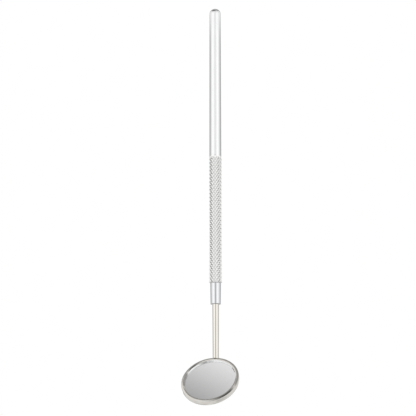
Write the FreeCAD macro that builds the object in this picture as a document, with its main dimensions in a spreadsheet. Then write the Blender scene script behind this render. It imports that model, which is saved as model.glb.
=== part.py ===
import FreeCAD, Part
import Sketcher
import math
import os
import sys

# Mouth mirror: a knurled tubular handle with a mirror head that screws into its nose.
#
# Row frame: millimetres, the handle's axis along +Z with its domed end up, the mirror
# facing -Y and up, and the origin on the axis at the middle of the knurled grip.
# The head's parts are drawn in a frame of their own: its origin is the centre of the
# head's front face, its z axis is the mirror's normal, and depths run along -z.

SIZES = {
    # handle
    "shaft_diameter": 5.2,
    "grip_diameter": 5.3,
    "grip_length": 53.3,
    "grip_bevel": 0.12,
    "shaft_length": 67.03,
    "tube_bore": 3.4,
    "dome_height": 2.56,
    "dome_inset": 0.04,
    "plug_spigot": 5,
    # nose collar
    "collar_length": 8.5,
    "collar_upper_diameter": 4.48,
    "collar_lower_diameter": 4.24,
    "collar_bevel": 0.16,
    "collar_neck": 0.24,
    "collar_neck_depth": 0.2,
    "collar_spigot": 6,
    # screw thread between the collar and the stem
    "thread_pitch": 0.45,
    "thread_turns": 10,
    "screw_diameter": 2.42,
    "screw_root_diameter": 1.94,
    "nut_diameter": 2.58,
    "nut_minor_diameter": 2.1,
    "crest_width": 0.06,
    "crest_gap": 0.06,
    "thread_overlap": 0.12,
    "pilot_diameter": 1.6,
    "pilot_length": 1.2,
    # stem
    "stem_upper_diameter": 2.75,
    "stem_lower_diameter": 2.45,
    "stem_bend_radius": 3,
    "foot_length": 6.2,
    "foot_centre_depth": 3.35,
    # mirror head
    "head_diameter": 22,
    "head_angle": 42,
    "head_offset": 8.7,
    "head_drop": 63.98,
    "cup_depth": 2.6,
    "cup_wall": 0.35,
    "cup_corner": 1.2,
    "cup_inner_corner": 0.8,
    "lip_width": 1.25,
    "lip_bevel": 0.47,
    "lip_thickness": 0.2,
    "lip_fall": 0.26,
    "lip_rounding": 0.2,
    "lip_crown_rounding": 0.2,
    "bezel_depth": 0.85,
    "skirt_thickness": 0.3,
    "skirt_depth": 0.6,
    "seal_width": 0.57,
    "seal_depth": 0.4,
    "glass_thickness": 1,
    "coat_thickness": 0.05,
    "pad_inset": 1.3,
    "solder_radius": 2,
    "solder_height": 0.62,
}

doc = FreeCAD.newDocument("mouth_mirror")
sheet = doc.addObject("Spreadsheet::Sheet", "sheet")
for row, (alias, number) in enumerate(SIZES.items(), start=1):
    sheet.set("A%d" % row, str(number))
    sheet.setAlias("A%d" % row, alias)
doc.recompute()

# Places that several pieces share, worked out from the sheet.
GRIP_END = "sheet.grip_length / 2"
TUBE_TOP = "(sheet.grip_length / 2 + sheet.shaft_length)"
COLLAR_FACE = "(-sheet.grip_length / 2 - sheet.collar_length)"
SCREW_TOP = "(%s + sheet.thread_pitch * (sheet.thread_turns + 2))" % COLLAR_FACE
HEAD_RADIUS = "sheet.head_diameter / 2"
LIP_RADIUS = "(sheet.head_diameter / 2 - sheet.lip_width)"
CUP_INNER = "(sheet.head_diameter / 2 - sheet.cup_wall)"
SKIRT_INNER = "(sheet.head_diameter / 2 - sheet.cup_wall - sheet.skirt_thickness)"
GLASS_RADIUS = "(%s - sheet.seal_width)" % SKIRT_INNER
GLASS_FACE = "-sheet.lip_thickness"
COAT_FRONT = "(-sheet.lip_thickness - sheet.glass_thickness)"
PAD_FRONT = "(-sheet.lip_thickness - sheet.glass_thickness - sheet.coat_thickness)"
CUP_FLOOR = "(-sheet.cup_depth + sheet.cup_wall)"
# The foot's line crosses the handle's axis at this height, where the stem bends.
BEND_VERTEX = (
    "(-sheet.head_drop - sheet.foot_centre_depth * sin(sheet.head_angle * 1 deg)"
    " + (sheet.head_offset - sheet.foot_centre_depth * cos(sheet.head_angle * 1 deg))"
    " / tan(sheet.head_angle * 1 deg))"
)
BEND_START = (
    "(%s + sheet.stem_bend_radius * tan(sheet.head_angle * 0.5 deg))" % BEND_VERTEX
)

finished = []


def value(expression):
    """The number that an expression on the sheet gives, in mm."""
    result = sheet.evalExpression(str(expression))
    return float(getattr(result, "Value", result))


def keep(piece, label):
    """Marks an object as a finished piece and names it."""
    piece.Label = label
    finished.append(piece)
    return piece


def in_head(y=0.0, z=0.0, turn=None):
    """A placement in the head's frame, given in the row frame."""
    tilt = FreeCAD.Rotation(FreeCAD.Vector(1, 0, 0), 90 - value("sheet.head_angle"))
    centre = FreeCAD.Vector(0, -value("sheet.head_offset"), -value("sheet.head_drop"))
    head = FreeCAD.Placement(centre, tilt)
    return head.multiply(FreeCAD.Placement(FreeCAD.Vector(0, y, z), turn or FreeCAD.Rotation()))


def new_body(name, on_head=False):
    """An empty body, in the row frame or in the head's frame."""
    body = doc.addObject("PartDesign::Body", name)
    if on_head:
        body.Placement = FreeCAD.Placement(
            FreeCAD.Vector(0, 0, 0), FreeCAD.Rotation(FreeCAD.Vector(1, 0, 0), 1)
        )
        body.setExpression(".Placement.Base.y", "-sheet.head_offset")
        body.setExpression(".Placement.Base.z", "-sheet.head_drop")
        body.setExpression(".Placement.Rotation.Angle", "90 - sheet.head_angle")
    return body


def origin_plane(body, role):
    """One of the body's own origin planes."""
    return [plane for plane in body.Origin.OriginFeatures if plane.Role == role][0]


def new_sketch(body, name, role="XZ_Plane"):
    """An empty sketch on one of the body's origin planes."""
    sketch = body.newObject("Sketcher::SketchObject", name)
    sketch.AttachmentSupport = (origin_plane(body, role), [""])
    sketch.MapMode = "FlatFace"
    return sketch


def fix_point(sketch, geometry, vertex, x, y):
    """Holds a sketch point at two expressions, measured from the sketch's origin."""
    for kind, expression in (("DistanceX", x), ("DistanceY", y)):
        number = sketch.addConstraint(
            Sketcher.Constraint(kind, -1, 1, geometry, vertex, value(expression))
        )
        sketch.setExpression("Constraints[%d]" % number, str(expression))


def closed_profile(body, name, corners):
    """A closed outline through corners that are given as pairs of expressions."""
    sketch = new_sketch(body, name)
    places = [FreeCAD.Vector(value(x), value(y), 0) for x, y in corners]
    count = len(places)
    for index in range(count):
        sketch.addGeometry(Part.LineSegment(places[index], places[(index + 1) % count]))
    for index in range(count):
        sketch.addConstraint(
            Sketcher.Constraint("Coincident", index, 2, (index + 1) % count, 1)
        )
    for index, (x, y) in enumerate(corners):
        fix_point(sketch, index, 1, x, y)
    doc.recompute()
    return sketch


def revolve(body, corners):
    """Turns a profile round the body's z axis."""
    sketch = closed_profile(body, body.Name + "_profile", corners)
    turned = body.newObject("PartDesign::Revolution", body.Name + "_turned")
    turned.Profile = sketch
    turned.ReferenceAxis = (sketch, ["V_Axis"])
    turned.Angle = 360
    body.Tip = turned
    doc.recompute()
    return turned


def round_edges(body, rings, radius, name):
    """Fillets the circular edges that lie at the given radii and heights."""
    base = body.Tip
    names = []
    for ring_radius, ring_height in rings:
        for number, edge in enumerate(base.Shape.Edges, start=1):
            curve = edge.Curve
            if not isinstance(curve, Part.Circle):
                continue
            same_radius = abs(curve.Radius - value(ring_radius)) < 1e-4
            same_height = abs(curve.Center.z - value(ring_height)) < 1e-4
            if same_radius and same_height:
                names.append("Edge%d" % number)
    fillet = body.newObject("PartDesign::Fillet", name)
    fillet.Base = (base, names)
    fillet.setExpression("Radius", radius)
    body.Tip = fillet
    doc.recompute()


def thread_profile(body, inner_diameter, outer_diameter, start, crest_width):
    """The section of a thread's ridge or groove, with flanks 60 degrees apart."""
    depth = "(%s - %s) / 2" % (outer_diameter, inner_diameter)
    half_crest = "(%s) / 2" % crest_width
    half_root = "(%s + %s * tan(30 deg))" % (half_crest, depth)
    inner = "%s / 2" % inner_diameter
    outer = "%s / 2" % outer_diameter
    return closed_profile(
        body,
        body.Name + "_thread_section",
        [
            (inner, "%s - %s" % (start, half_root)),
            (outer, "%s - %s" % (start, half_crest)),
            (outer, "%s + %s" % (start, half_crest)),
            (inner, "%s + %s" % (start, half_root)),
        ],
    )


def wind_thread(body, kind, sketch, turns):
    """A right-hand helical ridge or groove round the body's z axis."""
    helix = body.newObject(kind, body.Name + "_thread")
    helix.Profile = sketch
    helix.ReferenceAxis = (sketch, ["V_Axis"])
    helix.Mode = "pitch-height-angle"
    helix.setExpression("Pitch", "sheet.thread_pitch")
    helix.setExpression("Height", "sheet.thread_pitch * (%s)" % turns)
    body.Tip = helix
    doc.recompute()
    return helix


def make_handle_tube():
    """The tube: polished upper part, and the grip's zone at the diamonds' crests."""
    body = new_body("handle_tube")
    bore = "sheet.tube_bore / 2"
    crest = "sheet.grip_diameter / 2"
    shaft = "sheet.shaft_diameter / 2"
    revolve(
        body,
        [
            (bore, "-" + GRIP_END),
            (crest + " - sheet.grip_bevel", "-" + GRIP_END),
            (crest, "-%s + sheet.grip_bevel" % GRIP_END),
            (crest, GRIP_END),
            (shaft, GRIP_END + " + sheet.grip_bevel"),
            (shaft, TUBE_TOP),
            (bore, TUBE_TOP),
        ],
    )
    return keep(body, "handle_tube")


def make_end_plug():
    """The domed plug: a half ball on a spigot that is pressed into the tube."""
    dome = doc.addObject("Part::Ellipsoid", "plug_dome")
    dome.Angle1 = 0
    dome.Angle2 = 90
    dome.setExpression("Radius1", "sheet.dome_height")
    dome.setExpression("Radius2", "sheet.shaft_diameter / 2 - sheet.dome_inset")
    dome.setExpression(".Placement.Base.z", TUBE_TOP)
    spigot = doc.addObject("Part::Cylinder", "plug_spigot")
    spigot.setExpression("Radius", "sheet.tube_bore / 2")
    spigot.setExpression("Height", "sheet.plug_spigot")
    spigot.setExpression(".Placement.Base.z", TUBE_TOP + " - sheet.plug_spigot")
    plug = doc.addObject("Part::Fuse", "end_plug_solid")
    plug.Base = dome
    plug.Tool = spigot
    return keep(plug, "end_plug")


def make_nose_collar():
    """The nose: a necked, tapered collar with a spigot in the tube and a threaded bore."""
    body = new_body("nose_collar")
    bore = "sheet.nut_minor_diameter / 2"
    lower = "sheet.collar_lower_diameter / 2"
    spigot = "sheet.tube_bore / 2"
    spigot_top = "-%s + sheet.collar_spigot" % GRIP_END
    neck = "(sheet.collar_upper_diameter / 2 - sheet.collar_neck_depth)"
    neck_edge = "-%s - sheet.collar_neck" % GRIP_END
    revolve(
        body,
        [
            (bore, COLLAR_FACE),
            (lower + " - sheet.collar_bevel", COLLAR_FACE),
            (lower, COLLAR_FACE + " + sheet.collar_bevel"),
            ("sheet.collar_upper_diameter / 2", neck_edge),
            (neck, neck_edge),
            (neck, "-" + GRIP_END),
            (spigot, "-" + GRIP_END),
            (spigot, spigot_top),
            (bore, spigot_top),
        ],
    )
    plain_volume = body.Shape.Volume
    section = thread_profile(
        body,
        "(sheet.nut_minor_diameter - sheet.thread_overlap)",
        "sheet.nut_diameter",
        COLLAR_FACE + " - sheet.thread_pitch",
        "sheet.crest_width + sheet.crest_gap",
    )
    wind_thread(body, "PartDesign::SubtractiveHelix", section, "sheet.thread_turns + 4")
    if body.Shape.Volume >= plain_volume:
        sys.exit("the collar's thread cut nothing")
    return keep(body, "nose_collar")


def make_cup_envelope():
    """The head's outer shape as one solid, which the stem's foot is fitted round."""
    body = new_body("cup_envelope", on_head=True)
    back = "-sheet.cup_depth"
    revolve(body, [("0", back), (HEAD_RADIUS, back), (HEAD_RADIUS, "0"), ("0", "0")])
    round_edges(body, [(HEAD_RADIUS, back)], "sheet.cup_corner", "envelope_corner")
    return body


def make_foot_spine(body):
    """The centre line of the stem's bend and foot, in the plane of symmetry."""
    sketch = new_sketch(body, "foot_spine", "YZ_Plane")
    turn = math.radians(value("sheet.head_angle"))
    radius = value("sheet.stem_bend_radius")
    start = value(BEND_START)
    centre = FreeCAD.Vector(-radius, start, 0)
    circle = Part.Circle(centre, FreeCAD.Vector(0, 0, 1), radius)
    sketch.addGeometry(Part.ArcOfCircle(circle, -turn, 0))
    low = centre + FreeCAD.Vector(radius * math.cos(turn), -radius * math.sin(turn), 0)
    along = FreeCAD.Vector(-math.sin(turn), -math.cos(turn), 0)
    sketch.addGeometry(Part.LineSegment(low, low + along * value("sheet.foot_length")))
    fix_point(sketch, 0, 3, "-sheet.stem_bend_radius", BEND_START)
    fix_point(sketch, 0, 2, "0", BEND_START)
    sketch.addConstraint(Sketcher.Constraint("Tangent", 0, 1, 1, 1))
    length = sketch.addConstraint(
        Sketcher.Constraint("Distance", 1, value("sheet.foot_length"))
    )
    sketch.setExpression("Constraints[%d]" % length, "sheet.foot_length")
    run = "sheet.foot_length * sin(sheet.head_angle * 1 deg)"
    bend = "sheet.stem_bend_radius * (1 - cos(sheet.head_angle * 1 deg))"
    reach = sketch.addConstraint(
        Sketcher.Constraint("DistanceX", -1, 1, 1, 2, value("-(%s) - %s" % (run, bend)))
    )
    sketch.setExpression("Constraints[%d]" % reach, "-(%s) - %s" % (run, bend))
    doc.recompute()
    return sketch


def make_stem_rod():
    """The stem as one rod: screw, tapered shank, bend and round-ended foot."""
    body = new_body("stem_rod")
    core = "sheet.screw_root_diameter / 2"
    revolve(
        body,
        [
            ("0", BEND_START),
            ("sheet.stem_lower_diameter / 2", BEND_START),
            ("sheet.stem_upper_diameter / 2", COLLAR_FACE),
            (core, COLLAR_FACE),
            (core, SCREW_TOP),
            ("0", SCREW_TOP),
        ],
    )
    section = new_sketch(body, "foot_section", "XY_Plane")
    section.setExpression(".AttachmentOffset.Base.z", BEND_START)
    circle = Part.Circle(
        FreeCAD.Vector(0, 0, 0), FreeCAD.Vector(0, 0, 1), value("sheet.stem_lower_diameter") / 2
    )
    section.addGeometry(circle)
    section.addConstraint(Sketcher.Constraint("Coincident", 0, 3, -1, 1))
    size = section.addConstraint(
        Sketcher.Constraint("Diameter", 0, value("sheet.stem_lower_diameter"))
    )
    section.setExpression("Constraints[%d]" % size, "sheet.stem_lower_diameter")
    spine = make_foot_spine(body)
    pipe = body.newObject("PartDesign::AdditivePipe", "bend_and_foot")
    pipe.Profile = section
    pipe.Spine = (spine, ["Edge1", "Edge2"])
    body.Tip = pipe
    doc.recompute()
    ridge = thread_profile(
        body,
        "(sheet.screw_root_diameter - sheet.thread_overlap)",
        "sheet.screw_diameter",
        COLLAR_FACE + " + sheet.thread_pitch",
        "sheet.crest_width",
    )
    wind_thread(body, "PartDesign::AdditiveHelix", ridge, "sheet.thread_turns")
    return body


def make_toe():
    """The round end of the stem's foot."""
    toe = doc.addObject("Part::Sphere", "toe")
    toe.setExpression("Radius", "sheet.stem_lower_diameter / 2")
    toe.Placement = in_head(toe_place(), -value("sheet.foot_centre_depth"))
    return toe


def toe_place():
    """Where the foot's line ends, measured up the head from its centre."""
    angle = math.radians(value("sheet.head_angle"))
    depth = value("sheet.foot_centre_depth")
    to_vertex = (value("sheet.head_offset") - depth * math.cos(angle)) / math.sin(angle)
    tangent = value("sheet.stem_bend_radius") * math.tan(angle / 2)
    return to_vertex - tangent - value("sheet.foot_length")


def make_stem(envelope):
    """The stem, its foot cut to sit flat on the cup's back and round its corner."""
    rod = doc.addObject("Part::Fuse", "rod_with_toe")
    rod.Base = make_stem_rod()
    rod.Tool = make_toe()
    stem = doc.addObject("Part::Cut", "stem_solid")
    stem.Base = rod
    stem.Tool = envelope
    return keep(stem, "stem")


def make_stem_pilot():
    """The plain point that finds the hole before the thread starts."""
    pilot = doc.addObject("Part::Cylinder", "pilot")
    pilot.setExpression("Radius", "sheet.pilot_diameter / 2")
    pilot.setExpression("Height", "sheet.pilot_length")
    pilot.setExpression(".Placement.Base.z", SCREW_TOP)
    return keep(pilot, "stem_pilot")


def make_mirror_cup():
    """The cup: a drawn shell with a flat back and a rounded corner."""
    body = new_body("mirror_cup", on_head=True)
    back = "-sheet.cup_depth"
    rim = "-sheet.bezel_depth"
    revolve(
        body,
        [
            ("0", back),
            (HEAD_RADIUS, back),
            (HEAD_RADIUS, rim),
            (CUP_INNER, rim),
            (CUP_INNER, CUP_FLOOR),
            ("0", CUP_FLOOR),
        ],
    )
    round_edges(body, [(HEAD_RADIUS, back)], "sheet.cup_corner", "cup_corner")
    round_edges(body, [(CUP_INNER, CUP_FLOOR)], "sheet.cup_inner_corner", "cup_inside_corner")
    return keep(body, "mirror_cup")


def make_bezel_ring():
    """The bezel: a crowned lip, a wall that carries on the cup's, and a skirt inside the cup."""
    body = new_body("bezel_ring", on_head=True)
    seam = "-sheet.bezel_depth"
    skirt_end = "-sheet.bezel_depth - sheet.skirt_depth"
    crown = LIP_RADIUS + " + sheet.lip_bevel"
    shoulder = "-sheet.lip_fall"
    revolve(
        body,
        [
            (LIP_RADIUS, GLASS_FACE),
            (crown, "0"),
            (HEAD_RADIUS, shoulder),
            (HEAD_RADIUS, seam),
            (CUP_INNER, seam),
            (CUP_INNER, skirt_end),
            (SKIRT_INNER, skirt_end),
            (SKIRT_INNER, GLASS_FACE),
        ],
    )
    round_edges(body, [(HEAD_RADIUS, shoulder)], "sheet.lip_rounding", "lip_rounded")
    round_edges(body, [(crown, "0")], "sheet.lip_crown_rounding", "crown_rounded")
    return keep(body, "bezel_ring")


def make_rim_seal():
    """The sealing compound that fills the gap round the glass, under the lip."""
    body = new_body("rim_seal", on_head=True)
    bottom = GLASS_FACE + " - sheet.seal_depth"
    revolve(
        body,
        [
            (GLASS_RADIUS, GLASS_FACE),
            (SKIRT_INNER, GLASS_FACE),
            (SKIRT_INNER, bottom),
            (GLASS_RADIUS, bottom),
        ],
    )
    return keep(body, "rim_seal")


def make_disc(name, radius, front, thickness):
    """A disc of the mirror's stack, from its front face backward."""
    disc = doc.addObject("Part::Cylinder", name)
    disc.setExpression("Radius", radius)
    disc.setExpression("Height", thickness)
    disc.Placement = in_head(0, value("%s - %s" % (front, thickness)))
    return keep(disc, name)


def make_solder(envelope, stem):
    """The silver solder round the foot: a low bead on the cup's back."""
    radius = "sheet.solder_radius"
    depth = value("-sheet.cup_depth - sheet.solder_height + sheet.solder_radius")
    length = value("sheet.foot_length")
    bead = doc.addObject("Part::Cylinder", "solder_bead")
    bead.setExpression("Radius", radius)
    bead.setExpression("Height", "sheet.foot_length")
    upward = FreeCAD.Rotation(FreeCAD.Vector(1, 0, 0), -90)
    bead.Placement = in_head(toe_place(), depth, upward)
    ends = []
    for name, place in (("solder_toe", toe_place()), ("solder_heel", toe_place() + length)):
        end = doc.addObject("Part::Sphere", name)
        end.setExpression("Radius", radius)
        end.Placement = in_head(place, depth)
        ends.append(end)
    blob = doc.addObject("Part::MultiFuse", "solder_blob")
    blob.Shapes = [bead] + ends
    room = doc.addObject("Part::Cylinder", "solder_room")
    room.setExpression("Radius", HEAD_RADIUS)
    room.setExpression("Height", "sheet.cup_corner + sheet.solder_height")
    room.Placement = in_head(0, value("-sheet.cup_depth - sheet.solder_height"))
    behind = doc.addObject("Part::Common", "solder_behind")
    behind.Base = blob
    behind.Tool = room
    outside = doc.addObject("Part::Cut", "solder_outside")
    outside.Base = behind
    outside.Tool = envelope
    solder = doc.addObject("Part::Cut", "solder_solid")
    solder.Base = outside
    solder.Tool = stem
    return keep(solder, "stem_foot_solder")


def check_document():
    """Stops if an object failed, or if a finished piece has no sound shape."""
    for item in doc.Objects:
        if "Invalid" in item.State or "Error" in item.State:
            sys.exit("%s failed: %s" % (item.Name, item.State))
    for piece in finished:
        shape = piece.Shape
        if shape.isNull() or not shape.isValid() or len(shape.Solids) != 1:
            sys.exit("%s has %d solids" % (piece.Label, len(shape.Solids)))


make_handle_tube()
make_end_plug()
make_nose_collar()
cup_envelope = make_cup_envelope()
stem_piece = make_stem(cup_envelope)
make_stem_pilot()
make_mirror_cup()
make_bezel_ring()
make_rim_seal()
make_disc("mirror_glass", GLASS_RADIUS, GLASS_FACE, "sheet.glass_thickness")
make_disc("silver_coat", GLASS_RADIUS, COAT_FRONT, "sheet.coat_thickness")
make_disc(
    "backing_pad",
    "(sheet.head_diameter / 2 - sheet.pad_inset)",
    PAD_FRONT,
    "(sheet.cup_depth - sheet.cup_wall + %s)" % PAD_FRONT,
)
make_solder(cup_envelope, stem_piece)
doc.recompute()
check_document()

os.makedirs("parts", exist_ok=True)
for piece in finished:
    piece.Shape.exportStep("parts/%s.step" % piece.Label)
    box = piece.Shape.BoundBox
    size = (box.XLength, box.YLength, box.ZLength, piece.Shape.Volume)
    print("%-18s %6.2f x %6.2f x %6.2f mm  %8.2f mm3" % ((piece.Label,) + size))
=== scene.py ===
import math

import bpy
from mathutils import Matrix, Vector


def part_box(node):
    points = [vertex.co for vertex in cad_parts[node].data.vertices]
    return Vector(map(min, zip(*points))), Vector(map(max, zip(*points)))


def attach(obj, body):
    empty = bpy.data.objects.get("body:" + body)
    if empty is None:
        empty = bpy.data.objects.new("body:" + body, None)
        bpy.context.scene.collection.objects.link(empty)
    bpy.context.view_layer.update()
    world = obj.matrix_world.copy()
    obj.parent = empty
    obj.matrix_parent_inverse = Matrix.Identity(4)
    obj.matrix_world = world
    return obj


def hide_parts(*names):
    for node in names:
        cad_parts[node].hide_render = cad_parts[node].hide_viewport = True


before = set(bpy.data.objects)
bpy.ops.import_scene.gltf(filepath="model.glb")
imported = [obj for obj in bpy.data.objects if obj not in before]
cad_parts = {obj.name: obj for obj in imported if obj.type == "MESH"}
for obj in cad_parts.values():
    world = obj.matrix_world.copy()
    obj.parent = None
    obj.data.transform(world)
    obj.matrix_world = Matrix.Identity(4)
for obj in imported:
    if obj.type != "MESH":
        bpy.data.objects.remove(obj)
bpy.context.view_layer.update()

# Mouth mirror. Everything is in metres, in the CAD model's frame: the handle's axis is
# +Z, the mirror faces -Y and up. Heights along the handle come from the CAD boxes; the
# head's sections are drawn in a frame on the centre of its front face, z its normal.

MM = 0.001

# Driving dimensions that a box doesn't give.
GRIP_LENGTH = 53.3 * MM
SHAFT_RADIUS = 2.6 * MM
KNURL_STARTS = 14
KNURL_DEPTH = 0.3 * MM
DIAMOND_HEIGHT = 1.66 * MM
DIAMOND_STEPS = 8
FADE_LENGTH = 0.9 * MM
TUBE_EDGE = 0.08 * MM
TUBE_BORE = 1.7 * MM
THREAD_PITCH = 0.45 * MM
THREADED_LENGTH = 6 * MM
SCREW_ROOT = 0.97 * MM
SCREW_CREST = 1.21 * MM
NUT_ROOT = 1.29 * MM
NUT_CREST = 1.05 * MM
STEM_UPPER = 1.375 * MM
STEM_LOWER = 1.225 * MM
STEM_BEND = 3.0 * MM
COLLAR_LOWER = 2.12 * MM
COLLAR_BEVEL = 0.16 * MM
COLLAR_NECK = 0.24 * MM
NECK_DEPTH = 0.2 * MM
GRIP_BEVEL = 0.12 * MM
FOOT_LENGTH = 6.2 * MM
FOOT_DEPTH = 3.35 * MM
HEAD_ANGLE = math.radians(42)
LIP_THICKNESS = 0.2 * MM
LIP_WIDTH = 1.25 * MM
LIP_BEVEL = 0.47 * MM
LIP_ROUNDING = 0.2 * MM
LIP_CROWN_ROUNDING = 0.2 * MM
LIP_FALL = 0.26 * MM
BEZEL_DEPTH = 0.85 * MM
CUP_DEPTH = 2.6 * MM
CUP_WALL = 0.35 * MM
CUP_CORNER = 1.2 * MM
CUP_INNER_CORNER = 0.8 * MM
PANE_THICKNESS = 1.0 * MM
SILVER_THICKNESS = 0.05 * MM
SKIRT_THICKNESS = 0.3 * MM
SKIRT_DEPTH = 0.6 * MM
SEAL_WIDTH = 0.57 * MM
SEAL_DEPTH = 0.4 * MM
SOLDER_RADIUS = 2.0 * MM
SOLDER_HEIGHT = 0.62 * MM
SOLDER_OVERLAP = 0.08 * MM
CREASE_ANGLE = math.radians(28)

# The camera's place, direction and lens, then the floor and the lamp.
VIEW_AZIMUTH = math.radians(16.07)
VIEW_ELEVATION = math.radians(-15.25)
VIEW_DISTANCE = 279.9 * MM
VIEW_HEIGHT = 4.35 * MM
VIEW_SIDESTEP = -3.08 * MM
VIEW_ROLL = math.radians(0.06)
VIEW_LENS = 58.85
SENSOR_WIDTH = 36
NEAREST_VIEW = 0.01
FLOOR_HEIGHT = -0.1
FLOOR_RADIUS = 0.8
LAMP_SIZE = 0.6
LAMP_POWER = 1.2
LAMP_PLACE = (0.05, 0.05, 0.6)

# Scales of the surfaces' noise, along x, y and z, and depths of their bumps.
DRAWN_LINES = (9000, 9000, 260)
FINE_GRAIN = (9000, 9000, 9000)
WEAR_GRAIN = (900, 900, 900)
WEAR_CLOUDS = (420, 420, 160)
SMEARS = (260, 260, 260)
SILVER_CLOUDS = (120, 120, 120)
METAL_BUMP_DEPTH = 0.00001
SOLID_BUMP_DEPTH = 0.00003


# ---------------------------------------------------------------- mesh building


def ring(height, radius, columns):
    """Points round the z axis. The radius is a number, or a function of the angle."""
    points = []
    for column in range(columns):
        angle = 2 * math.pi * column / columns
        r = radius(angle) if callable(radius) else radius
        points.append(Vector((r * math.cos(angle), r * math.sin(angle), height)))
    return points


def skin(name, rings, closed=False, slant=None):
    """A smooth mesh through rings of points; a ring of one point closes an end.

    slant(index, column) may choose the diagonal that splits a face: True is the one
    that falls along the columns, False the one that climbs, and None leaves the face.
    """
    vertices = []
    starts = []
    for points in rings:
        starts.append(len(vertices))
        vertices.extend(points)
    faces = []
    count = len(rings) if closed else len(rings) - 1
    for index in range(count):
        following = (index + 1) % len(rings)
        first, second = starts[index], starts[following]
        columns = max(len(rings[index]), len(rings[following]))
        for column in range(columns):
            beside = (column + 1) % columns
            if len(rings[index]) == 1:
                faces.append((first, second + beside, second + column))
            elif len(rings[following]) == 1:
                faces.append((first + column, first + beside, second))
            else:
                face = (first + column, first + beside, second + beside, second + column)
                faces.extend(split_face(face, slant and slant(index, column)))
    mesh = bpy.data.meshes.new(name)
    mesh.from_pydata(vertices, [], faces)
    mesh.validate()
    piece = bpy.data.objects.new(name, mesh)
    bpy.context.scene.collection.objects.link(piece)
    finish_mesh(piece)
    return piece


def split_face(face, falling):
    """A four-sided face, whole or split along one of its diagonals."""
    a, b, c, d = face
    if falling is None:
        return [face]
    if falling:
        return [(a, b, c), (a, c, d)]
    return [(a, b, d), (b, c, d)]


def finish_mesh(piece):
    """Turns the normals outward and shades smooth except across sharp edges."""
    mesh = piece.data
    volume = sum(
        mesh.vertices[t.vertices[0]].co.dot(
            mesh.vertices[t.vertices[1]].co.cross(mesh.vertices[t.vertices[2]].co)
        )
        for t in triangles(mesh)
    )
    if volume < 0:
        mesh.flip_normals()
    mesh.shade_smooth()
    mesh.set_sharp_from_angle(angle=CREASE_ANGLE)


def triangles(mesh):
    """The mesh's triangles."""
    mesh.calc_loop_triangles()
    return mesh.loop_triangles


def rounded(corners, steps=5):
    """An outline with its corners rounded: each corner is (radius, height, rounding).

    A point just outside each rounding keeps the faces beyond it flat.
    """
    points = []
    count = len(corners)
    for index, corner in enumerate(corners):
        here = Vector(corner[:2])
        rounding = corner[2] if len(corner) > 2 else 0
        if not rounding:
            points.append(here)
            continue
        before = Vector(corners[index - 1][:2]) - here
        after = Vector(corners[(index + 1) % count][:2]) - here
        half = before.angle(after) / 2
        reach = rounding / math.tan(half)
        bisector = (before.normalized() + after.normalized()).normalized()
        centre = here + bisector * (rounding / math.sin(half))
        start = here + before.normalized() * reach - centre
        end = here + after.normalized() * reach - centre
        sweep = start.angle_signed(end)
        guard = rounding * 0.15
        points.append(here + before.normalized() * (reach + guard))
        for step in range(steps + 1):
            turn = Matrix.Rotation(-sweep * step / steps, 2)
            points.append(centre + turn @ start)
        points.append(here + after.normalized() * (reach + guard))
    return points


def lathe(name, corners, columns=128, closed=False, steps=5):
    """A turned piece. Open outlines start and end on the axis."""
    rings = []
    for radius, height in rounded(corners, steps):
        if radius < 1e-9:
            rings.append([Vector((0, 0, height))])
        else:
            rings.append(ring(height, radius, columns))
    return skin(name, rings, closed)


def boolean(piece, other, operation):
    """Cuts or keeps the piece by another mesh, which is then removed."""
    modifier = piece.modifiers.new("cut", "BOOLEAN")
    modifier.object = other
    modifier.operation = operation
    modifier.solver = "EXACT"
    bake_modifiers(piece)
    bpy.data.objects.remove(other)


def bake_modifiers(piece):
    """Replaces the piece's mesh by its modified mesh."""
    graph = bpy.context.evaluated_depsgraph_get()
    mesh = bpy.data.meshes.new_from_object(piece.evaluated_get(graph))
    piece.modifiers.clear()
    piece.data = mesh
    finish_mesh(piece)


# ---------------------------------------------------------------- materials


def new_material(name):
    """A material with a Principled shader; returns the material and the shader."""
    material = bpy.data.materials.new(name)
    material.use_nodes = True
    return material, material.node_tree.nodes["Principled BSDF"]


def coordinates(tree, stretch):
    """Object coordinates scaled by a stretch along each axis."""
    place = tree.nodes.new("ShaderNodeTexCoord")
    mapping = tree.nodes.new("ShaderNodeMapping")
    mapping.inputs["Scale"].default_value = stretch
    tree.links.new(place.outputs["Object"], mapping.inputs["Vector"])
    return mapping.outputs["Vector"]


def noise(tree, stretch, detail=4.0):
    """A noise value in object space."""
    texture = tree.nodes.new("ShaderNodeTexNoise")
    texture.inputs["Scale"].default_value = 1.0
    texture.inputs["Detail"].default_value = detail
    tree.links.new(coordinates(tree, stretch), texture.inputs["Vector"])
    return texture.outputs["Fac"]


def remap(tree, value, low, high, from_low=0.3, from_high=0.7):
    """A value carried from one range to another."""
    node = tree.nodes.new("ShaderNodeMapRange")
    node.inputs["From Min"].default_value = from_low
    node.inputs["From Max"].default_value = from_high
    node.inputs["To Min"].default_value = low
    node.inputs["To Max"].default_value = high
    tree.links.new(value, node.inputs["Value"])
    return node.outputs["Result"]


def mix_colour(tree, factor, first, second):
    """A colour between two, by a factor."""
    node = tree.nodes.new("ShaderNodeMix")
    node.data_type = "RGBA"
    node.inputs["A"].default_value = (*first, 1)
    node.inputs["B"].default_value = (*second, 1)
    tree.links.new(factor, node.inputs["Factor"])
    return node.outputs["Result"]


def bump(tree, height, strength, distance):
    """A bump normal from a height."""
    node = tree.nodes.new("ShaderNodeBump")
    node.inputs["Strength"].default_value = strength
    node.inputs["Distance"].default_value = distance
    tree.links.new(height, node.inputs["Height"])
    return node.outputs["Normal"]


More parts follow.
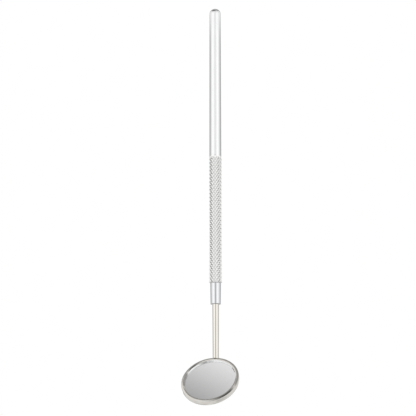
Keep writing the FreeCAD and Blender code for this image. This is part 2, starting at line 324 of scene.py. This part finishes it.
def arithmetic(tree, operation, first, second=0.0):
    """One math node; inputs are numbers or sockets."""
    node = tree.nodes.new("ShaderNodeMath")
    node.operation = operation
    for socket, value in zip(node.inputs, (first, second)):
        if isinstance(value, bpy.types.NodeSocket):
            tree.links.new(value, socket)
        else:
            socket.default_value = value
    return node.outputs[0]


def polished_metal(name, colour, tarnish, smooth, rough, drawn=True):
    """Polished metal: soft cloudy wear, a little tarnish, and faint lines if drawn."""
    material, shader = new_material(name)
    tree = material.node_tree
    lines = DRAWN_LINES if drawn else WEAR_GRAIN
    cloud = noise(tree, WEAR_CLOUDS, 3.0)
    line = noise(tree, lines, 6.0)
    worn = arithmetic(tree, "ADD", cloud, arithmetic(tree, "MULTIPLY", line, 0.5))
    shader.inputs["Metallic"].default_value = 1.0
    shade = mix_colour(tree, remap(tree, cloud, 0, 1), colour, tarnish)
    tree.links.new(shade, shader.inputs["Base Color"])
    tree.links.new(remap(tree, worn, smooth, rough, 0.5, 1.0), shader.inputs["Roughness"])
    tree.links.new(bump(tree, line, 0.03, METAL_BUMP_DEPTH), shader.inputs["Normal"])
    return material


def knurled_steel(crest):
    """Knurled steel: bright crests, and duller grooves whose colour darkens with depth from the crest,
    a painted shade in the grooves.
    """
    material, shader = new_material("knurled_steel")
    tree = material.node_tree
    place = tree.nodes.new("ShaderNodeTexCoord")
    flat = tree.nodes.new("ShaderNodeVectorMath")
    flat.operation = "MULTIPLY"
    flat.inputs[1].default_value = (1, 1, 0)
    length = tree.nodes.new("ShaderNodeVectorMath")
    length.operation = "LENGTH"
    tree.links.new(place.outputs["Object"], flat.inputs[0])
    tree.links.new(flat.outputs[0], length.inputs[0])
    groove = crest - KNURL_DEPTH
    bright = crest - 0.4 * KNURL_DEPTH
    height = remap(tree, length.outputs["Value"], 0, 1, groove, bright)
    grain = noise(tree, FINE_GRAIN, 3.0)
    shader.inputs["Metallic"].default_value = 1.0
    # The base colour darkens from the crests down into the grooves: painted shade in the grooves.
    tree.links.new(
        mix_colour(tree, height, (0.74, 0.74, 0.73), (0.98, 0.98, 0.97)), shader.inputs["Base Color"]
    )
    tree.links.new(remap(tree, height, 0.14, 0.08, 0, 1), shader.inputs["Roughness"])
    tree.links.new(bump(tree, grain, 0.05, METAL_BUMP_DEPTH), shader.inputs["Normal"])
    return material


def clear_glass():
    """The mirror's clear glass, with the faintest greasy bloom in its surface."""
    material, shader = new_material("clear_glass")
    tree = material.node_tree
    shader.inputs["Transmission Weight"].default_value = 1.0
    shader.inputs["IOR"].default_value = 1.5
    shader.inputs["Roughness"].default_value = 0.0
    smear = noise(tree, SMEARS, 4.0)
    tree.links.new(
        mix_colour(tree, smear, (0.985, 0.99, 0.99), (1.0, 1.0, 1.0)), shader.inputs["Base Color"]
    )
    return material


def silvering():
    """The silver layer behind the glass."""
    material, shader = new_material("silvering")
    tree = material.node_tree
    shader.inputs["Metallic"].default_value = 1.0
    shader.inputs["Roughness"].default_value = 0.0
    cloud = noise(tree, SILVER_CLOUDS, 3.0)
    tree.links.new(
        mix_colour(tree, cloud, (0.92, 0.915, 0.915), (0.94, 0.935, 0.935)), shader.inputs["Base Color"]
    )
    return material


def dull_solid(name, dark, light, roughness, grain_size):
    """A non-metal with a mottled colour and a grainy surface."""
    material, shader = new_material(name)
    tree = material.node_tree
    grain = noise(tree, (grain_size,) * 3, 5.0)
    tree.links.new(mix_colour(tree, grain, dark, light), shader.inputs["Base Color"])
    tree.links.new(remap(tree, grain, roughness - 0.1, roughness + 0.1), shader.inputs["Roughness"])
    tree.links.new(bump(tree, grain, 0.3, SOLID_BUMP_DEPTH), shader.inputs["Normal"])
    return material


# ---------------------------------------------------------------- handle


def groove_distance(phase):
    """How far a place is from the nearest groove of one hand, in groove spacings."""
    return 0.5 - abs(phase % 1 - 0.5)


def knurl_height(column, row):
    """How far the knurl stands at a point of its grid: 0 in a groove, 1 on a flat."""
    left = groove_distance((column - row) / DIAMOND_STEPS)
    right = groove_distance((column + row) / DIAMOND_STEPS)
    slope = 3 / DIAMOND_STEPS
    return min(1.0, left / slope, right / slope)


def knurl_slant(column, row):
    """Which diagonal of a grid cell runs along the nearest groove."""
    left = groove_distance((column - row) / DIAMOND_STEPS)
    right = groove_distance((column + row + 1) / DIAMOND_STEPS)
    return left < right


def make_handle_tube():
    """The tube: plain shaft, diamond knurl that fades in at its top, and the bore."""
    low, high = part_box("handle_tube")
    crest = high.x
    grip_top = low.z + GRIP_LENGTH
    columns = KNURL_STARTS * DIAMOND_STEPS
    plain = [
        (TUBE_BORE, high.z),
        (SHAFT_RADIUS, high.z, TUBE_EDGE),
        (SHAFT_RADIUS, grip_top + TUBE_EDGE),
        (SHAFT_RADIUS, low.z),
        (TUBE_BORE, low.z),
    ]
    rings = [ring(z, r, columns) for r, z in rounded(plain)[:-2]]
    first = len(rings)
    step = DIAMOND_HEIGHT / DIAMOND_STEPS
    rows = int((GRIP_LENGTH - GRIP_BEVEL) / step)
    for row in range(rows + 1):
        fade = min(1.0, row * step / FADE_LENGTH)
        points = []
        for column in range(columns):
            cut = crest - KNURL_DEPTH * (1 - knurl_height(column, row))
            r = SHAFT_RADIUS + (cut - SHAFT_RADIUS) * fade
            angle = 2 * math.pi * column / columns
            points.append(Vector((r * math.cos(angle), r * math.sin(angle), grip_top - row * step)))
        rings.append(points)
    rings.append(ring(low.z + GRIP_BEVEL / 2, crest - KNURL_DEPTH, columns))
    rings.append(ring(low.z, crest - KNURL_DEPTH - GRIP_BEVEL / 2, columns))
    rings.append(ring(low.z, TUBE_BORE, columns))

    def slant(index, column):
        row = index - first
        return knurl_slant(column, row) if 0 <= row < rows else None

    tube = skin("handle_tube_knurled", rings, closed=True, slant=slant)
    tube.data.materials.append(STEEL)
    tube.data.materials.append(knurled_steel(crest))
    # the grip's wall is knurled steel, with painted shade in its grooves; its lower end, which faces
    # down, is plain
    tolerance = 1e-7
    for face in tube.data.polygons:
        heights = [tube.data.vertices[v].co.z for v in face.vertices]
        if max(heights) <= grip_top + tolerance and face.normal.z > -0.9:
            face.material_index = 1
    install(tube, "handle", "handle_tube")


def make_end_plug():
    """The domed plug on its spigot."""
    low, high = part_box("end_plug")
    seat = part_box("handle_tube")[1].z
    dome_radius, dome_height = high.x, high.z - seat
    arc = []
    steps = 16
    for step in range(steps + 1):
        angle = math.pi / 2 * (1 - step / steps)
        arc.append((dome_radius * math.cos(angle), seat + dome_height * math.sin(angle)))
    arc[0] = (0.0, high.z)
    spigot = [(TUBE_BORE, seat), (TUBE_BORE, low.z), (0.0, low.z)]
    plug = lathe("end_plug_domed", arc + spigot, columns=144)
    plug.data.materials.append(STEEL)
    install(plug, "handle", "end_plug")


def thread_ridge(angle, height, start):
    """How far the thread's 60 degree ridge stands at an angle and height, from 0 to 1."""
    phase = ((height - start) / THREAD_PITCH - angle / (2 * math.pi)) % 1
    away = min(phase, 1 - phase) * THREAD_PITCH
    half_crest = 0.03 * MM
    flank = (SCREW_CREST - SCREW_ROOT) * math.tan(math.radians(30))
    return max(0.0, min(1.0, 1 - (away - half_crest) / flank))


def thread_rings(start, low, high, inner, outer, columns):
    """Rings of a screw thread between two heights, from the lower to the upper."""
    rows_per_turn = 14
    rows = int((high - low) / (THREAD_PITCH / rows_per_turn))
    rings = []
    for row in range(rows + 1):
        z = low + (high - low) * row / rows
        fade = min(1.0, (z - low) / THREAD_PITCH * 2, (high - z) / THREAD_PITCH)

        def radius(angle):
            return inner + (outer - inner) * fade * thread_ridge(angle, z, start)

        rings.append(ring(z, radius, columns))
    return rings


def make_nose_collar():
    """The tapered collar: a relief neck above, a bevel below and a threaded bore."""
    low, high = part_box("nose_collar")
    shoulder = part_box("handle_tube")[0].z
    upper, lower = high.x, COLLAR_LOWER
    columns = 96
    outline = [
        (NUT_ROOT, low.z),
        (lower - COLLAR_BEVEL, low.z, 0.03 * MM),
        (lower, low.z + COLLAR_BEVEL, 0.1 * MM),
        (upper, shoulder - COLLAR_NECK, 0.06 * MM),
        (upper - NECK_DEPTH, shoulder - COLLAR_NECK),
        (upper - NECK_DEPTH, shoulder),
        (TUBE_BORE, shoulder),
        (TUBE_BORE, high.z),
        (NUT_CREST, high.z),
    ]
    rings = [ring(z, r, columns) for r, z in rounded(outline)]
    bore_top = low.z + THREADED_LENGTH
    rings.append(ring(bore_top + THREAD_PITCH, NUT_CREST, columns))
    bore = thread_rings(low.z, low.z + 0.02 * MM, bore_top, NUT_CREST, NUT_ROOT, columns)
    rings.extend(reversed(bore))
    collar = skin("nose_collar_turned", rings, closed=True)
    collar.data.materials.append(COLLAR_STEEL)
    collar.data.materials.append(JOINT_SHADE_STEEL)
    # Faces below the bevel's top and above the neck's foot take the darker steel: painted shade where
    # the collar meets the stem and the grip.
    for face in collar.data.polygons:
        if not low.z + COLLAR_BEVEL < face.center.z < shoulder - COLLAR_NECK:
            face.material_index = 1
    install(collar, "handle", "nose_collar")


# ---------------------------------------------------------------- stem and head


def head_matrix():
    """The head's frame: its front face's centre, with z along the mirror's normal."""
    low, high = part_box("mirror_glass")
    turn = Matrix.Rotation(math.pi / 2 - HEAD_ANGLE, 4, "X")
    normal = turn @ Vector((0, 0, 1))
    front = (low + high) / 2 + normal * (PANE_THICKNESS / 2 + LIP_THICKNESS)
    return Matrix.Translation(front) @ turn


def envelope(inset=0.0):
    """The head's outer shape as one solid, for fitting the stem and the solder."""
    solid = lathe(
        "envelope",
        [
            (0.0, -CUP_DEPTH + inset),
            (HEAD_RADIUS - inset, -CUP_DEPTH + inset, CUP_CORNER - inset),
            (HEAD_RADIUS - inset, 0.0),
            (0.0, 0.0),
        ],
        columns=160,
        steps=12,
    )
    solid.data.transform(HEAD)
    return solid


def foot_line():
    """The height where the stem's bend starts, and the direction of its foot."""
    along = HEAD.to_3x3() @ Vector((0, -1, 0))
    behind = HEAD @ Vector((0, 0, -FOOT_DEPTH))
    vertex = behind - along * (behind.y / along.y)
    bend_start = vertex.z + STEM_BEND * math.tan(HEAD_ANGLE / 2)
    return bend_start, along


def stem_place(bend_start, along, angle, beyond=0.0):
    """The frame of a section at an angle round the bend, or beyond it on the foot."""
    centre = Vector((0, -STEM_BEND, bend_start))
    turn = Matrix.Rotation(-angle, 4, "X")
    point = centre + turn @ Vector((0, STEM_BEND, 0)) + along * beyond
    return Matrix.Translation(point) @ turn


def make_stem():
    """The stem: screw, shoulder, long taper, bend and a foot cut to fit the cup."""
    screw_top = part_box("stem")[1].z
    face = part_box("nose_collar")[0].z
    bend_start, along = foot_line()
    columns = 64
    rings = [[Vector((0, 0, screw_top))], ring(screw_top, SCREW_ROOT - 0.1 * MM, columns)]
    screw = thread_rings(
        face + THREAD_PITCH, face + 0.2 * MM, screw_top - 0.1 * MM, SCREW_ROOT, SCREW_CREST, columns
    )
    rings.extend(reversed(screw))
    shank = [
        (SCREW_ROOT, face + 0.1 * MM),
        (SCREW_ROOT, face),
        (STEM_UPPER, face, 0.06 * MM),
        (STEM_LOWER, bend_start),
        (0.0, bend_start),
    ]
    rings.extend(ring(z, r, columns) for r, z in rounded(shank)[:-1])
    bend_steps = 12
    for step in range(1, bend_steps + 1):
        place = stem_place(bend_start, along, HEAD_ANGLE * step / bend_steps)
        rings.append([place @ p for p in ring(0, STEM_LOWER, columns)])
    foot_steps = 6
    for step in range(1, foot_steps + 1):
        place = stem_place(bend_start, along, HEAD_ANGLE, FOOT_LENGTH * step / foot_steps)
        rings.append([place @ p for p in ring(0, STEM_LOWER, columns)])
    toe_steps = 8
    end = stem_place(bend_start, along, HEAD_ANGLE, FOOT_LENGTH)
    for step in range(1, toe_steps):
        angle = math.pi / 2 * step / toe_steps
        toe = ring(-STEM_LOWER * math.sin(angle), STEM_LOWER * math.cos(angle), columns)
        rings.append([end @ p for p in toe])
    rings.append([end @ Vector((0, 0, -STEM_LOWER))])
    stem = skin("stem_rod", rings)
    boolean(stem, envelope(), "DIFFERENCE")
    stem.data.materials.append(NICKEL)
    install(stem, "mirror_head", "stem")


def make_solder():
    """The solder round the foot: a bead cut from a rounded bar, then softened."""
    bend_start, along = foot_line()
    level = -CUP_DEPTH - SOLDER_HEIGHT + SOLDER_RADIUS
    heel = HEAD.inverted() @ stem_place(bend_start, along, HEAD_ANGLE).translation
    columns = 48
    half_steps = 10
    rings = [[Vector((0, 0, SOLDER_RADIUS))]]
    for end, first in ((0.0, True), (-FOOT_LENGTH, False)):
        for step in range(1 if first else 0, half_steps + (1 if first else 0)):
            angle = math.pi / 2 * (1 - step / half_steps if first else -step / half_steps)
            rings.append(
                ring(end + SOLDER_RADIUS * math.sin(angle), SOLDER_RADIUS * math.cos(angle), columns)
            )
    rings.append([Vector((0, 0, -FOOT_LENGTH - SOLDER_RADIUS))])
    bead = skin("foot_solder", rings)
    lay = Matrix.Translation((0, heel.y, level)) @ Matrix.Rotation(-math.pi / 2, 4, "X")
    bead.data.transform(HEAD @ lay)
    room = lathe(
        "room",
        [
            (0.0, -CUP_DEPTH - SOLDER_HEIGHT),
            (HEAD_RADIUS, -CUP_DEPTH - SOLDER_HEIGHT),
            (HEAD_RADIUS, -CUP_DEPTH + CUP_CORNER),
            (0.0, -CUP_DEPTH + CUP_CORNER),
        ],
    )
    room.data.transform(HEAD)
    boolean(bead, room, "INTERSECT")
    boolean(bead, envelope(inset=SOLDER_OVERLAP), "DIFFERENCE")
    bead.data.materials.append(SOLDER)
    install(bead, "mirror_head", "stem_foot_solder")


def head_piece(name, corners, material, node, closed=False, steps=6):
    """A turned piece of the head, laid in the head's frame."""
    piece = lathe(name, corners, columns=160, closed=closed, steps=steps)
    piece.data.transform(HEAD)
    piece.data.materials.append(material)
    if material is GLASS:
        coat_edge(piece)
    install(piece, "mirror_head", node)


def make_head():
    """Cup, bezel, seal, glass and silver, as sections turned about the normal."""
    inner = HEAD_RADIUS - CUP_WALL
    skirt = inner - SKIRT_THICKNESS
    glass = skirt - SEAL_WIDTH
    lip = HEAD_RADIUS - LIP_WIDTH
    face = -LIP_THICKNESS
    floor = -CUP_DEPTH + CUP_WALL
    coat = face - PANE_THICKNESS
    seam = 0.05 * MM
    cup = [
        (0.0, -CUP_DEPTH),
        (HEAD_RADIUS, -CUP_DEPTH, CUP_CORNER),
        (HEAD_RADIUS, -BEZEL_DEPTH, seam),
        (inner, -BEZEL_DEPTH),
        (inner, floor, CUP_INNER_CORNER),
        (0.0, floor),
    ]
    head_piece("mirror_cup_drawn", cup, RIM_METAL, "mirror_cup", steps=10)
    bezel = [
        (lip, face),
        (lip + LIP_BEVEL, 0.0, LIP_CROWN_ROUNDING),
        (HEAD_RADIUS, -LIP_FALL, LIP_ROUNDING),
        (HEAD_RADIUS, -BEZEL_DEPTH, seam),
        (inner, -BEZEL_DEPTH),
        (inner, -BEZEL_DEPTH - SKIRT_DEPTH),
        (skirt, -BEZEL_DEPTH - SKIRT_DEPTH),
        (skirt, face),
    ]
    head_piece("bezel_ring_rolled", bezel, RIM_METAL, "bezel_ring", closed=True)
    sunk = 0.01 * MM
    seal = [
        (glass, face),
        (skirt, face),
        (skirt, face - SEAL_DEPTH),
        (glass, face - SEAL_DEPTH),
    ]
    head_piece("rim_seal_bead", seal, SEAL, "rim_seal", closed=True)
    arris = 0.05 * MM
    pane = [
        (0.0, face),
        (glass - sunk - arris, face),
        (glass - sunk, face - arris),
        (glass - sunk, coat),
        (0.0, coat),
    ]
    head_piece("mirror_glass_pane", pane, GLASS, "mirror_glass")
    back = coat - SILVER_THICKNESS
    silver = [(0.0, coat + sunk), (glass, coat + sunk), (glass, back), (0.0, back)]
    head_piece("silver_layer", silver, SILVER, "silver_coat")


def coat_edge(pane):
    """Gives the pane's side the grey coat that seals its silvering."""
    pane.data.materials.append(EDGE)
    normal = HEAD.to_3x3() @ Vector((0, 0, 1))
    for face in pane.data.polygons:
        if abs(face.normal.dot(normal)) < 0.5:
            face.material_index = 1


def install(piece, body, node):
    """Rides a piece on its body, and lets it stand for its CAD node."""
    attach(piece, body)
    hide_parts(node)


def dress_hidden_nodes():
    """Materials for the CAD nodes that stay."""
    for node, material in (("stem_pilot", NICKEL), ("backing_pad", PAD)):
        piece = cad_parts[node]
        piece.data.materials.clear()
        piece.data.materials.append(material)


# ---------------------------------------------------------------- studio


def softstep(tree, value, low, high):
    """0 below low and 1 above high, with a smooth change between."""
    node = tree.nodes.new("ShaderNodeMapRange")
    node.interpolation_type = "SMOOTHSTEP"
    node.inputs["From Min"].default_value = low
    node.inputs["From Max"].default_value = high
    tree.links.new(value, node.inputs["Value"])
    return node.outputs["Result"]


def dot(tree, vector, fixed):
    """The dot product of a vector socket and a fixed vector."""
    node = tree.nodes.new("ShaderNodeVectorMath")
    node.operation = "DOT_PRODUCT"
    node.inputs[1].default_value = fixed
    tree.links.new(vector, node.inputs[0])
    return node.outputs["Value"]


def blend_values(tree, factor, first, second):
    """first where the factor is 0, second where it is 1."""
    node = tree.nodes.new("ShaderNodeMix")
    node.data_type = "FLOAT"
    tree.links.new(factor, node.inputs["Factor"])
    for socket, value in ((node.inputs["A"], first), (node.inputs["B"], second)):
        if isinstance(value, bpy.types.NodeSocket):
            tree.links.new(value, socket)
        else:
            socket.default_value = value
    return node.outputs["Result"]


# Brightness of the studio round the handle, by the angle in degrees from the camera's
# side. Low and high walls: a gap round the camera, deep in the low ones and slight in the
# high ones, a white screen each side of it, grey flags further round, and a white back.
LOW_WALLS = {
    0: 0.42,
    9: 0.5,
    24: 1.0,
    42: 1.12,
    66: 0.95,
    85: 0.8,
    100: 0.6,
    112: 0.44,
    134: 0.42,
    144: 1.0,
}
HIGH_WALLS = {
    0: 0.84,
    22: 1.02,
    40: 1.16,
    58: 1.1,
    78: 0.88,
    96: 0.64,
    110: 0.5,
    125: 0.42,
    138: 0.42,
    148: 1.0,
}
# Just under eye level: white, with a dark back. Far below: grey and white panels by turns.
FOOT_WALLS = {0: 0.9, 152: 0.9, 164: 0.12}
FLOOR_PANELS = {turn: 0.55 if turn % 60 == 30 else 1.0 for turn in range(0, 181, 30)}

# Brightness of the parts that have one value each.
BELOW = 0.9
CEILING_FRONT, CEILING_BACK = 0.97, 0.4
OVERHEAD_FRONT, OVERHEAD_STRIP, OVERHEAD_BACK = 0.12, 1.05, 0.4
HIGH_CORNERS = 1.0
BACKDROP = 1.0

# Where one part starts and is complete, as the rise of a direction: -1 down, 1 up.
RISE = {
    "high walls": (0.06, 0.34),
    "corners": (0.48, 0.54),
    "ceiling": (0.52, 0.62),
    "overhead": (0.68, 0.79),
    "foot": (-0.05, -0.1),
    "below": (-0.24, -0.34),
    "panels": (-0.6, -0.7),
    "straight down": (-0.93, -0.97),
}
# The same for the ceiling's back, the corners and the parts overhead, which run along a
# line from the front left to the back right.
BACK_STARTS = (0.1, -0.25)
CORNERS_START = (0.6, 0.68)
STRIP_STARTS = (-0.308, -0.102)
STRIP_ENDS = (-0.155, -0.1)
ACROSS = (0.465, 0.885, 0)
STUDIO_TURN = math.radians(3)


def ramp(tree, value, levels):
    """A brightness by the value in degrees, from 0 to 180, through the given levels."""
    node = tree.nodes.new("ShaderNodeValToRGB")
    brightest = max(levels.values())
    while len(node.color_ramp.elements) < len(levels):
        node.color_ramp.elements.new(0.5)
    for element, (degrees, level) in zip(node.color_ramp.elements, levels.items()):
        element.position = degrees / 180
        element.color = (level / brightest,) * 3 + (1,)
    tree.links.new(remap(tree, value, 0, 1, 0, math.pi), node.inputs["Fac"])
    return arithmetic(tree, "MULTIPLY", node.outputs["Color"], brightest)


def studio_walls(tree, direction, toward, right, rise):
    """Brightness of the walls, the ceiling and what lies below, by direction."""
    angle = arithmetic(tree, "ARCTAN2", dot(tree, direction, right), dot(tree, direction, toward))
    angle = arithmetic(tree, "ABSOLUTE", angle)
    high = softstep(tree, rise, *RISE["high walls"])
    walls = blend_values(tree, high, ramp(tree, angle, LOW_WALLS), ramp(tree, angle, HIGH_WALLS))
    foot = softstep(tree, rise, *RISE["foot"])
    walls = blend_values(tree, foot, walls, ramp(tree, angle, FOOT_WALLS))
    behind = softstep(tree, dot(tree, direction, toward), *BACK_STARTS)
    ceiling = blend_values(tree, behind, CEILING_FRONT, CEILING_BACK)
    walls = blend_values(tree, softstep(tree, rise, *RISE["ceiling"]), walls, ceiling)
    walls = blend_values(tree, softstep(tree, rise, *RISE["below"]), walls, BELOW)
    down = softstep(tree, rise, *RISE["straight down"])
    panels = blend_values(tree, down, ramp(tree, angle, FLOOR_PANELS), BELOW)
    return blend_values(tree, softstep(tree, rise, *RISE["panels"]), walls, panels)


def studio_overhead(tree, direction):
    """Brightness overhead: a dark front, a narrow bright strip and a grey back."""
    across = dot(tree, direction, ACROSS)
    strip = softstep(tree, across, *STRIP_STARTS)
    light = blend_values(tree, strip, OVERHEAD_FRONT, OVERHEAD_STRIP)
    return blend_values(tree, softstep(tree, across, *STRIP_ENDS), light, OVERHEAD_BACK)


def make_world():
    """A white studio that the metal mirrors; the camera itself sees a plain white."""
    world = bpy.data.worlds.new("studio")
    bpy.context.scene.world = world
    world.use_nodes = True
    tree = world.node_tree
    direction = tree.nodes.new("ShaderNodeTexCoord").outputs["Generated"]
    middle = VIEW_AZIMUTH - STUDIO_TURN
    toward = (math.sin(middle), -math.cos(middle), 0)
    right = (math.cos(middle), math.sin(middle), 0)
    rise = dot(tree, direction, (0, 0, 1))
    walls = studio_walls(tree, direction, toward, right, rise)
    overhead = softstep(tree, rise, *RISE["overhead"])
    light = blend_values(tree, overhead, walls, studio_overhead(tree, direction))
    sideways = arithmetic(tree, "ABSOLUTE", dot(tree, direction, right))
    corners = arithmetic(
        tree,
        "MULTIPLY",
        softstep(tree, sideways, *CORNERS_START),
        softstep(tree, rise, *RISE["corners"]),
    )
    light = blend_values(tree, corners, light, HIGH_CORNERS)
    seen = tree.nodes.new("ShaderNodeLightPath").outputs["Is Camera Ray"]
    light = blend_values(tree, seen, light, BACKDROP)
    tree.links.new(light, tree.nodes["Background"].inputs["Color"])


def make_floor():
    """A plain white floor under the head, clear at its edge and from below."""
    mesh = bpy.data.meshes.new("floor")
    mesh.from_pydata(ring(FLOOR_HEIGHT, FLOOR_RADIUS, 96), [], [tuple(range(96))])
    floor = bpy.data.objects.new("floor", mesh)
    bpy.context.scene.collection.objects.link(floor)
    material, shader = new_material("floor_white")
    tree = material.node_tree
    shader.inputs["Base Color"].default_value = (0.93, 0.93, 0.93, 1)
    shader.inputs["Roughness"].default_value = 0.9
    shader.inputs["Specular IOR Level"].default_value = 0.0
    place = tree.nodes.new("ShaderNodeTexCoord")
    distance = tree.nodes.new("ShaderNodeVectorMath")
    distance.operation = "LENGTH"
    tree.links.new(place.outputs["Object"], distance.inputs[0])
    solid = softstep(tree, distance.outputs["Value"], FLOOR_RADIUS * 0.95, FLOOR_RADIUS * 0.3)
    above = arithmetic(
        tree, "SUBTRACT", 1.0, tree.nodes.new("ShaderNodeNewGeometry").outputs["Backfacing"]
    )
    tree.links.new(arithmetic(tree, "MULTIPLY", solid, above), shader.inputs["Alpha"])
    floor.data.materials.append(material)
    floor.visible_glossy = False


def make_lamp():
    """A large soft lamp overhead that lights the floor but isn't reflected."""
    lamp = bpy.data.lights.new("overhead", "AREA")
    lamp.shape = "DISK"
    lamp.size = LAMP_SIZE
    lamp.energy = LAMP_POWER
    holder = bpy.data.objects.new("overhead", lamp)
    holder.location = LAMP_PLACE
    holder.visible_glossy = False
    holder.visible_transmission = False
    bpy.context.scene.collection.objects.link(holder)


def make_camera():
    """The camera, low on the mirror's side and looking a little upward."""
    camera = bpy.data.objects.new("camera", bpy.data.cameras.new("camera"))
    camera.data.lens = VIEW_LENS
    camera.data.sensor_width = SENSOR_WIDTH
    camera.data.clip_start = NEAREST_VIEW
    back = Vector(
        (
            math.sin(VIEW_AZIMUTH) * math.cos(VIEW_ELEVATION),
            -math.cos(VIEW_AZIMUTH) * math.cos(VIEW_ELEVATION),
            math.sin(VIEW_ELEVATION),
        )
    )
    right = Vector((math.cos(VIEW_AZIMUTH), math.sin(VIEW_AZIMUTH), 0))
    camera.location = Vector((0, 0, VIEW_HEIGHT)) + back * VIEW_DISTANCE + right * VIEW_SIDESTEP
    camera.rotation_mode = "QUATERNION"
    roll = Matrix.Rotation(VIEW_ROLL, 3, "Z").to_quaternion()
    camera.rotation_quaternion = (-back).to_track_quat("-Z", "Y") @ roll
    bpy.context.scene.collection.objects.link(camera)
    bpy.context.scene.camera = camera


# Each metal: its colour, its tarnish, and its least and greatest roughness.
STEEL = polished_metal("polished_steel", (0.9, 0.9, 0.9), (0.86, 0.865, 0.87), 0.06, 0.13)
# Darker steel for the collar's bevel and neck: painted shade at its joints with the stem and the grip.
JOINT_SHADE_STEEL = polished_metal(
    "painted_joint_shade_steel", (0.56, 0.56, 0.57), (0.46, 0.46, 0.47), 0.2, 0.35, drawn=False
)
COLLAR_STEEL = polished_metal("collar_steel", (0.88, 0.885, 0.9), (0.84, 0.85, 0.87), 0.04, 0.1)
NICKEL = polished_metal("bright_nickel", (0.92, 0.89, 0.83), (0.88, 0.85, 0.78), 0.05, 0.12)
SOLDER = polished_metal("silver_solder", (0.75, 0.73, 0.69), (0.6, 0.57, 0.52), 0.25, 0.45)
GLASS = clear_glass()
SILVER = silvering()
RIM_METAL = polished_metal(
    "rim_nickel", (0.72, 0.7, 0.66), (0.68, 0.655, 0.61), 0.08, 0.14, drawn=False
)
EDGE = polished_metal(
    "edge_coat", (0.86, 0.87, 0.87), (0.8, 0.81, 0.81), 0.01, 0.03, drawn=False
)
SEAL = dull_solid("dark_sealant", (0.08, 0.085, 0.085), (0.16, 0.165, 0.165), 0.45, 9000)
PAD = dull_solid("pad_board", (0.32, 0.24, 0.16), (0.5, 0.4, 0.28), 0.8, 4000)

HEAD = head_matrix()
HEAD_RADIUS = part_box("bezel_ring")[1].x

make_handle_tube()
make_end_plug()
make_nose_collar()
make_stem()
make_solder()
make_head()
dress_hidden_nodes()
make_world()
make_floor()
make_lamp()
make_camera()
bpy.context.scene.view_settings.view_transform = "Standard"
